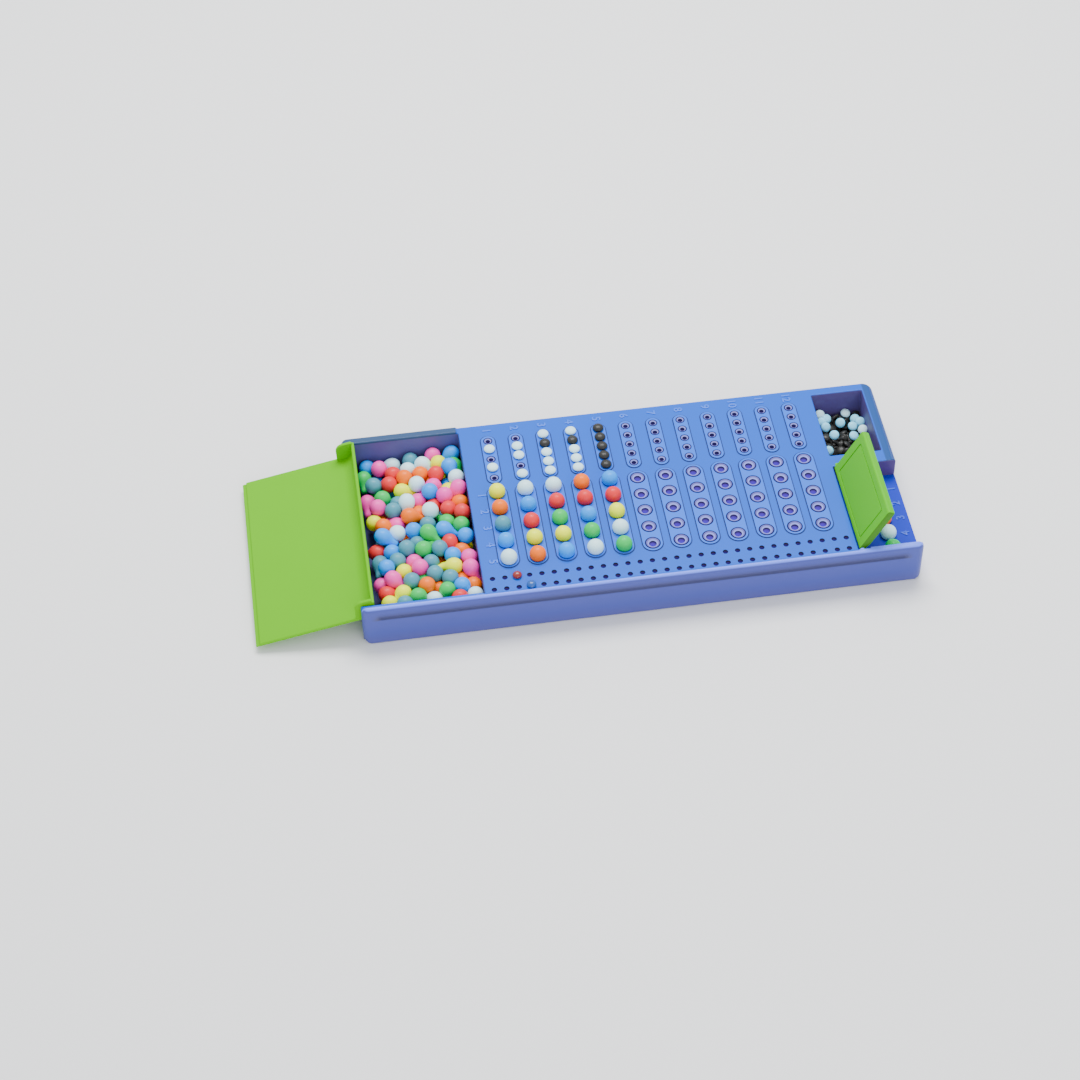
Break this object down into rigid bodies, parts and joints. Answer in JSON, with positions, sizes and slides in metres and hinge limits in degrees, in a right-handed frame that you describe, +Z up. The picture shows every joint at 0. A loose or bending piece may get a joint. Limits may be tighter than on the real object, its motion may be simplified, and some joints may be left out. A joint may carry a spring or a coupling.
{
  "type": "code breaking peg game",
  "caption": "Long pegboard game tray with rows of code and key pegs, a hinged lid over the code peg bin, a key peg bin and a hooded shelf that hides the code.",
  "frame": {"origin": "on the table, under the middle of the tray", "axes": "+X along the board from the lidded code peg bin to the code shelf, +Y to the back, +Z up"},
  "size_m": [0.3899, 0.141, 0.0528],
  "materials": {
    "board_plastic": "satin moulded blue",
    "lid_plastic": "satin moulded green",
    "peg_white": "gloss",
    "peg_sky": "gloss",
    "peg_red": "gloss",
    "peg_orange": "gloss",
    "peg_yellow": "gloss",
    "peg_green": "gloss",
    "peg_grey": "gloss",
    "peg_black": "gloss",
    "score_red": "gloss",
    "score_blue": "gloss",
    "peg_mix": "gloss, pegs of several colours"
  },
  "bodies": {
    "board": {"game_tray": "board_plastic", "peg_deck": "board_plastic", "code_peg_heap": "peg_mix", "key_peg_heap": "peg_mix"},
    "code_lid": {"code_lid": "lid_plastic"},
    "shield": {"shield": "lid_plastic"},
    "code_peg_row1_1": {"code_peg_row1_1": "peg_yellow"},
    "code_peg_row1_2": {"code_peg_row1_2": "peg_orange"},
    "code_peg_row1_3": {"code_peg_row1_3": "peg_grey"},
    "code_peg_row1_4": {"code_peg_row1_4": "peg_sky"},
    "code_peg_row1_5": {"code_peg_row1_5": "peg_white"},
    "code_peg_row2_1": {"code_peg_row2_1": "peg_white"},
    "code_peg_row2_2": {"code_peg_row2_2": "peg_sky"},
    "code_peg_row2_3": {"code_peg_row2_3": "peg_red"},
    "code_peg_row2_4": {"code_peg_row2_4": "peg_yellow"},
    "code_peg_row2_5": {"code_peg_row2_5": "peg_orange"},
    "code_peg_row3_1": {"code_peg_row3_1": "peg_white"},
    "code_peg_row3_2": {"code_peg_row3_2": "peg_red"},
    "code_peg_row3_3": {"code_peg_row3_3": "peg_green"},
    "code_peg_row3_4": {"code_peg_row3_4": "peg_yellow"},
    "code_peg_row3_5": {"code_peg_row3_5": "peg_sky"},
    "code_peg_row4_1": {"code_peg_row4_1": "peg_orange"},
    "code_peg_row4_2": {"code_peg_row4_2": "peg_red"},
    "code_peg_row4_3": {"code_peg_row4_3": "peg_sky"},
    "code_peg_row4_4": {"code_peg_row4_4": "peg_green"},
    "code_peg_row4_5": {"code_peg_row4_5": "peg_white"},
    "code_peg_row5_1": {"code_peg_row5_1": "peg_sky"},
    "code_peg_row5_2": {"code_peg_row5_2": "peg_red"},
    "code_peg_row5_3": {"code_peg_row5_3": "peg_yellow"},
    "code_peg_row5_4": {"code_peg_row5_4": "peg_white"},
    "code_peg_row5_5": {"code_peg_row5_5": "peg_green"},
    "key_peg_row1_2": {"key_peg_row1_2": "peg_white"},
    "key_peg_row1_4": {"key_peg_row1_4": "peg_white"},
    "key_peg_row2_2": {"key_peg_row2_2": "peg_white"},
    "key_peg_row2_3": {"key_peg_row2_3": "peg_white"},
    "key_peg_row2_5": {"key_peg_row2_5": "peg_white"},
    "key_peg_row3_1": {"key_peg_row3_1": "peg_white"},
    "key_peg_row3_2": {"key_peg_row3_2": "peg_black"},
    "key_peg_row3_3": {"key_peg_row3_3": "peg_white"},
    "key_peg_row3_4": {"key_peg_row3_4": "peg_white"},
    "key_peg_row3_5": {"key_peg_row3_5": "peg_white"},
    "key_peg_row4_1": {"key_peg_row4_1": "peg_white"},
    "key_peg_row4_2": {"key_peg_row4_2": "peg_black"},
    "key_peg_row4_3": {"key_peg_row4_3": "peg_white"},
    "key_peg_row4_4": {"key_peg_row4_4": "peg_white"},
    "key_peg_row4_5": {"key_peg_row4_5": "peg_white"},
    "key_peg_row5_1": {"key_peg_row5_1": "peg_black"},
    "key_peg_row5_2": {"key_peg_row5_2": "peg_black"},
    "key_peg_row5_3": {"key_peg_row5_3": "peg_black"},
    "key_peg_row5_4": {"key_peg_row5_4": "peg_black"},
    "key_peg_row5_5": {"key_peg_row5_5": "peg_black"},
    "score_peg_red": {"score_peg_red": "score_red"},
    "score_peg_blue": {"score_peg_blue": "score_blue"},
    "answer_peg_1": {"answer_peg_1": "peg_yellow"},
    "answer_peg_2": {"answer_peg_2": "peg_sky"},
    "answer_peg_3": {"answer_peg_3": "peg_orange"},
    "answer_peg_4": {"answer_peg_4": "peg_white"},
    "answer_peg_5": {"answer_peg_5": "peg_green"}
  },
  "joints": [
    {"name": "lid_hinge", "type": "hinge", "parent": "board", "child": "code_lid", "pos_m": [-0.1603, 0, 0.0235], "axis": [0, -1, 0], "range_deg": [-192, 0]},
    {"name": "shield_hinge", "type": "hinge", "parent": "board", "child": "shield", "pos_m": [0.1295, -0.03175, 0.026], "axis": [0, -1, 0], "range_deg": [-62, 35]},
    {"name": "code_peg_row1_1_lift", "type": "slide", "parent": "board", "child": "code_peg_row1_1", "axis": [0, 0, 1], "range_m": [0, 0.012]},
    {"name": "code_peg_row1_2_lift", "type": "slide", "parent": "board", "child": "code_peg_row1_2", "axis": [0, 0, 1], "range_m": [0, 0.012]},
    {"name": "code_peg_row1_3_lift", "type": "slide", "parent": "board", "child": "code_peg_row1_3", "axis": [0, 0, 1], "range_m": [0, 0.012]},
    {"name": "code_peg_row1_4_lift", "type": "slide", "parent": "board", "child": "code_peg_row1_4", "axis": [0, 0, 1], "range_m": [0, 0.012]},
    {"name": "code_peg_row1_5_lift", "type": "slide", "parent": "board", "child": "code_peg_row1_5", "axis": [0, 0, 1], "range_m": [0, 0.012]},
    {"name": "code_peg_row2_1_lift", "type": "slide", "parent": "board", "child": "code_peg_row2_1", "axis": [0, 0, 1], "range_m": [0, 0.012]},
    {"name": "code_peg_row2_2_lift", "type": "slide", "parent": "board", "child": "code_peg_row2_2", "axis": [0, 0, 1], "range_m": [0, 0.012]},
    {"name": "code_peg_row2_3_lift", "type": "slide", "parent": "board", "child": "code_peg_row2_3", "axis": [0, 0, 1], "range_m": [0, 0.012]},
    {"name": "code_peg_row2_4_lift", "type": "slide", "parent": "board", "child": "code_peg_row2_4", "axis": [0, 0, 1], "range_m": [0, 0.012]},
    {"name": "code_peg_row2_5_lift", "type": "slide", "parent": "board", "child": "code_peg_row2_5", "axis": [0, 0, 1], "range_m": [0, 0.012]},
    {"name": "code_peg_row3_1_lift", "type": "slide", "parent": "board", "child": "code_peg_row3_1", "axis": [0, 0, 1], "range_m": [0, 0.012]},
    {"name": "code_peg_row3_2_lift", "type": "slide", "parent": "board", "child": "code_peg_row3_2", "axis": [0, 0, 1], "range_m": [0, 0.012]},
    {"name": "code_peg_row3_3_lift", "type": "slide", "parent": "board", "child": "code_peg_row3_3", "axis": [0, 0, 1], "range_m": [0, 0.012]},
    {"name": "code_peg_row3_4_lift", "type": "slide", "parent": "board", "child": "code_peg_row3_4", "axis": [0, 0, 1], "range_m": [0, 0.012]},
    {"name": "code_peg_row3_5_lift", "type": "slide", "parent": "board", "child": "code_peg_row3_5", "axis": [0, 0, 1], "range_m": [0, 0.012]},
    {"name": "code_peg_row4_1_lift", "type": "slide", "parent": "board", "child": "code_peg_row4_1", "axis": [0, 0, 1], "range_m": [0, 0.012]},
    {"name": "code_peg_row4_2_lift", "type": "slide", "parent": "board", "child": "code_peg_row4_2", "axis": [0, 0, 1], "range_m": [0, 0.012]},
    {"name": "code_peg_row4_3_lift", "type": "slide", "parent": "board", "child": "code_peg_row4_3", "axis": [0, 0, 1], "range_m": [0, 0.012]},
    {"name": "code_peg_row4_4_lift", "type": "slide", "parent": "board", "child": "code_peg_row4_4", "axis": [0, 0, 1], "range_m": [0, 0.012]},
    {"name": "code_peg_row4_5_lift", "type": "slide", "parent": "board", "child": "code_peg_row4_5", "axis": [0, 0, 1], "range_m": [0, 0.012]},
    {"name": "code_peg_row5_1_lift", "type": "slide", "parent": "board", "child": "code_peg_row5_1", "axis": [0, 0, 1], "range_m": [0, 0.012]},
    {"name": "code_peg_row5_2_lift", "type": "slide", "parent": "board", "child": "code_peg_row5_2", "axis": [0, 0, 1], "range_m": [0, 0.012]},
    {"name": "code_peg_row5_3_lift", "type": "slide", "parent": "board", "child": "code_peg_row5_3", "axis": [0, 0, 1], "range_m": [0, 0.012]},
    {"name": "code_peg_row5_4_lift", "type": "slide", "parent": "board", "child": "code_peg_row5_4", "axis": [0, 0, 1], "range_m": [0, 0.012]},
    {"name": "code_peg_row5_5_lift", "type": "slide", "parent": "board", "child": "code_peg_row5_5", "axis": [0, 0, 1], "range_m": [0, 0.012]},
    {"name": "key_peg_row1_2_lift", "type": "slide", "parent": "board", "child": "key_peg_row1_2", "axis": [0, 0, 1], "range_m": [0, 0.009]},
    {"name": "key_peg_row1_4_lift", "type": "slide", "parent": "board", "child": "key_peg_row1_4", "axis": [0, 0, 1], "range_m": [0, 0.009]},
    {"name": "key_peg_row2_2_lift", "type": "slide", "parent": "board", "child": "key_peg_row2_2", "axis": [0, 0, 1], "range_m": [0, 0.009]},
    {"name": "key_peg_row2_3_lift", "type": "slide", "parent": "board", "child": "key_peg_row2_3", "axis": [0, 0, 1], "range_m": [0, 0.009]},
    {"name": "key_peg_row2_5_lift", "type": "slide", "parent": "board", "child": "key_peg_row2_5", "axis": [0, 0, 1], "range_m": [0, 0.009]},
    {"name": "key_peg_row3_1_lift", "type": "slide", "parent": "board", "child": "key_peg_row3_1", "axis": [0, 0, 1], "range_m": [0, 0.009]},
    {"name": "key_peg_row3_2_lift", "type": "slide", "parent": "board", "child": "key_peg_row3_2", "axis": [0, 0, 1], "range_m": [0, 0.009]},
    {"name": "key_peg_row3_3_lift", "type": "slide", "parent": "board", "child": "key_peg_row3_3", "axis": [0, 0, 1], "range_m": [0, 0.009]},
    {"name": "key_peg_row3_4_lift", "type": "slide", "parent": "board", "child": "key_peg_row3_4", "axis": [0, 0, 1], "range_m": [0, 0.009]},
    {"name": "key_peg_row3_5_lift", "type": "slide", "parent": "board", "child": "key_peg_row3_5", "axis": [0, 0, 1], "range_m": [0, 0.009]},
    {"name": "key_peg_row4_1_lift", "type": "slide", "parent": "board", "child": "key_peg_row4_1", "axis": [0, 0, 1], "range_m": [0, 0.009]},
    {"name": "key_peg_row4_2_lift", "type": "slide", "parent": "board", "child": "key_peg_row4_2", "axis": [0, 0, 1], "range_m": [0, 0.009]},
    {"name": "key_peg_row4_3_lift", "type": "slide", "parent": "board", "child": "key_peg_row4_3", "axis": [0, 0, 1], "range_m": [0, 0.009]},
    {"name": "key_peg_row4_4_lift", "type": "slide", "parent": "board", "child": "key_peg_row4_4", "axis": [0, 0, 1], "range_m": [0, 0.009]},
    {"name": "key_peg_row4_5_lift", "type": "slide", "parent": "board", "child": "key_peg_row4_5", "axis": [0, 0, 1], "range_m": [0, 0.009]},
    {"name": "key_peg_row5_1_lift", "type": "slide", "parent": "board", "child": "key_peg_row5_1", "axis": [0, 0, 1], "range_m": [0, 0.009]},
    {"name": "key_peg_row5_2_lift", "type": "slide", "parent": "board", "child": "key_peg_row5_2", "axis": [0, 0, 1], "range_m": [0, 0.009]},
    {"name": "key_peg_row5_3_lift", "type": "slide", "parent": "board", "child": "key_peg_row5_3", "axis": [0, 0, 1], "range_m": [0, 0.009]},
    {"name": "key_peg_row5_4_lift", "type": "slide", "parent": "board", "child": "key_peg_row5_4", "axis": [0, 0, 1], "range_m": [0, 0.009]},
    {"name": "key_peg_row5_5_lift", "type": "slide", "parent": "board", "child": "key_peg_row5_5", "axis": [0, 0, 1], "range_m": [0, 0.009]},
    {"name": "score_peg_red_lift", "type": "slide", "parent": "board", "child": "score_peg_red", "axis": [0, 0, 1], "range_m": [0, 0.009]},
    {"name": "score_peg_blue_lift", "type": "slide", "parent": "board", "child": "score_peg_blue", "axis": [0, 0, 1], "range_m": [0, 0.009]},
    {"name": "answer_peg_1_lift", "type": "slide", "parent": "board", "child": "answer_peg_1", "axis": [0, 0, 1], "range_m": [0, 0.012]},
    {"name": "answer_peg_2_lift", "type": "slide", "parent": "board", "child": "answer_peg_2", "axis": [0, 0, 1], "range_m": [0, 0.012]},
    {"name": "answer_peg_3_lift", "type": "slide", "parent": "board", "child": "answer_peg_3", "axis": [0, 0, 1], "range_m": [0, 0.012]},
    {"name": "answer_peg_4_lift", "type": "slide", "parent": "board", "child": "answer_peg_4", "axis": [0, 0, 1], "range_m": [0, 0.012]},
    {"name": "answer_peg_5_lift", "type": "slide", "parent": "board", "child": "answer_peg_5", "axis": [0, 0, 1], "range_m": [0, 0.012]}
  ]
}
